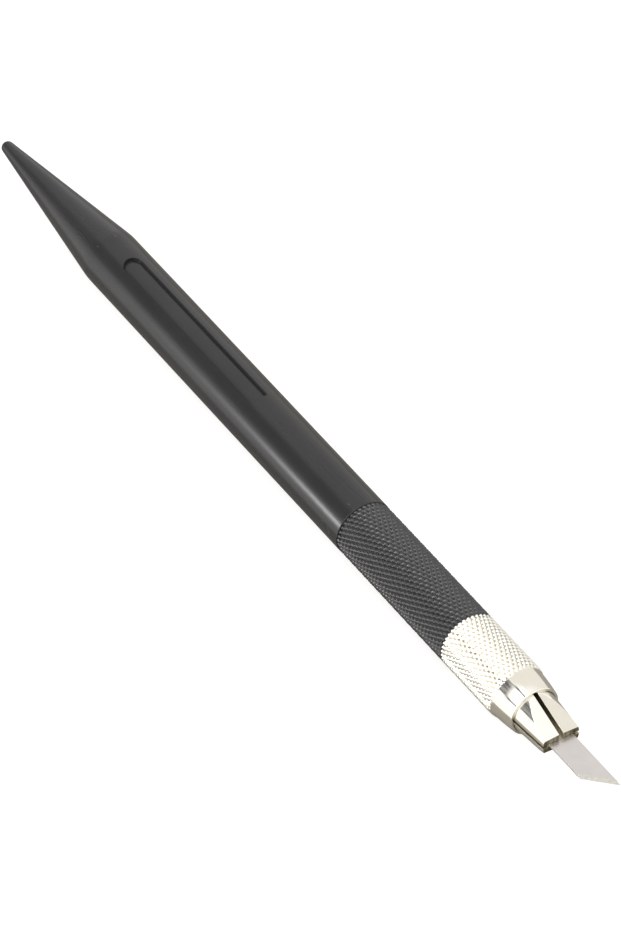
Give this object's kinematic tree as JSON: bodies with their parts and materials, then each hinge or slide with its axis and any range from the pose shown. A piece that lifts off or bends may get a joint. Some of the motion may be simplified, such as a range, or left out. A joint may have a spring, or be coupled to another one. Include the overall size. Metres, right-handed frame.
{
  "type": "hobby craft knife",
  "caption": "Pen-shaped hobby craft knife: tapered black barrel, knurled grip, knurled collar that screws down on a slit collet, and an angled blade.",
  "frame": {"origin": "middle of the knife's length, on the surface that the barrel lies on", "axes": "+X along the knife from the tail to the blade's tip, +Z square to the blade's flat faces and up, +Y to the side of the blade's point"},
  "size_m": [0.1686, 0.0096, 0.0096],
  "materials": {
    "black_plastic": "satin moulded black plastic",
    "black_metal": "matt black anodised, diamond knurled",
    "nickel": "bright nickel plate on turned brass",
    "blade_steel": "fine ground carbon steel"
  },
  "bodies": {
    "grip_body": {"grip": "black_metal"},
    "barrel_body": {"barrel": "black_plastic"},
    "collet_body": {"collet": "nickel"},
    "collar_body": {"collar": "nickel"},
    "blade_body": {"blade": "blade_steel"}
  },
  "joints": [
    {"name": "barrel_pull", "type": "slide", "parent": "grip_body", "child": "barrel_body", "axis": [-1, 0, 0], "range_m": [0, 0.014]},
    {"name": "collet_travel", "type": "slide", "parent": "grip_body", "child": "collet_body", "axis": [1, 0, 0], "range_m": [0, 0.0045]},
    {"name": "collar_turn", "type": "hinge", "parent": "collet_body", "child": "collar_body", "pos_m": [0.06595, 0, 0.0048], "axis": [1, 0, 0], "range_deg": [0, 2160]},
    {"name": "blade_slide", "type": "slide", "parent": "collet_body", "child": "blade_body", "axis": [1, 0, 0], "range_m": [0, 0.0202]}
  ],
  "couplings": [
    {"joint": "collar_turn", "follows": "collet_travel", "rad_per_m": 8377.6}
  ]
}
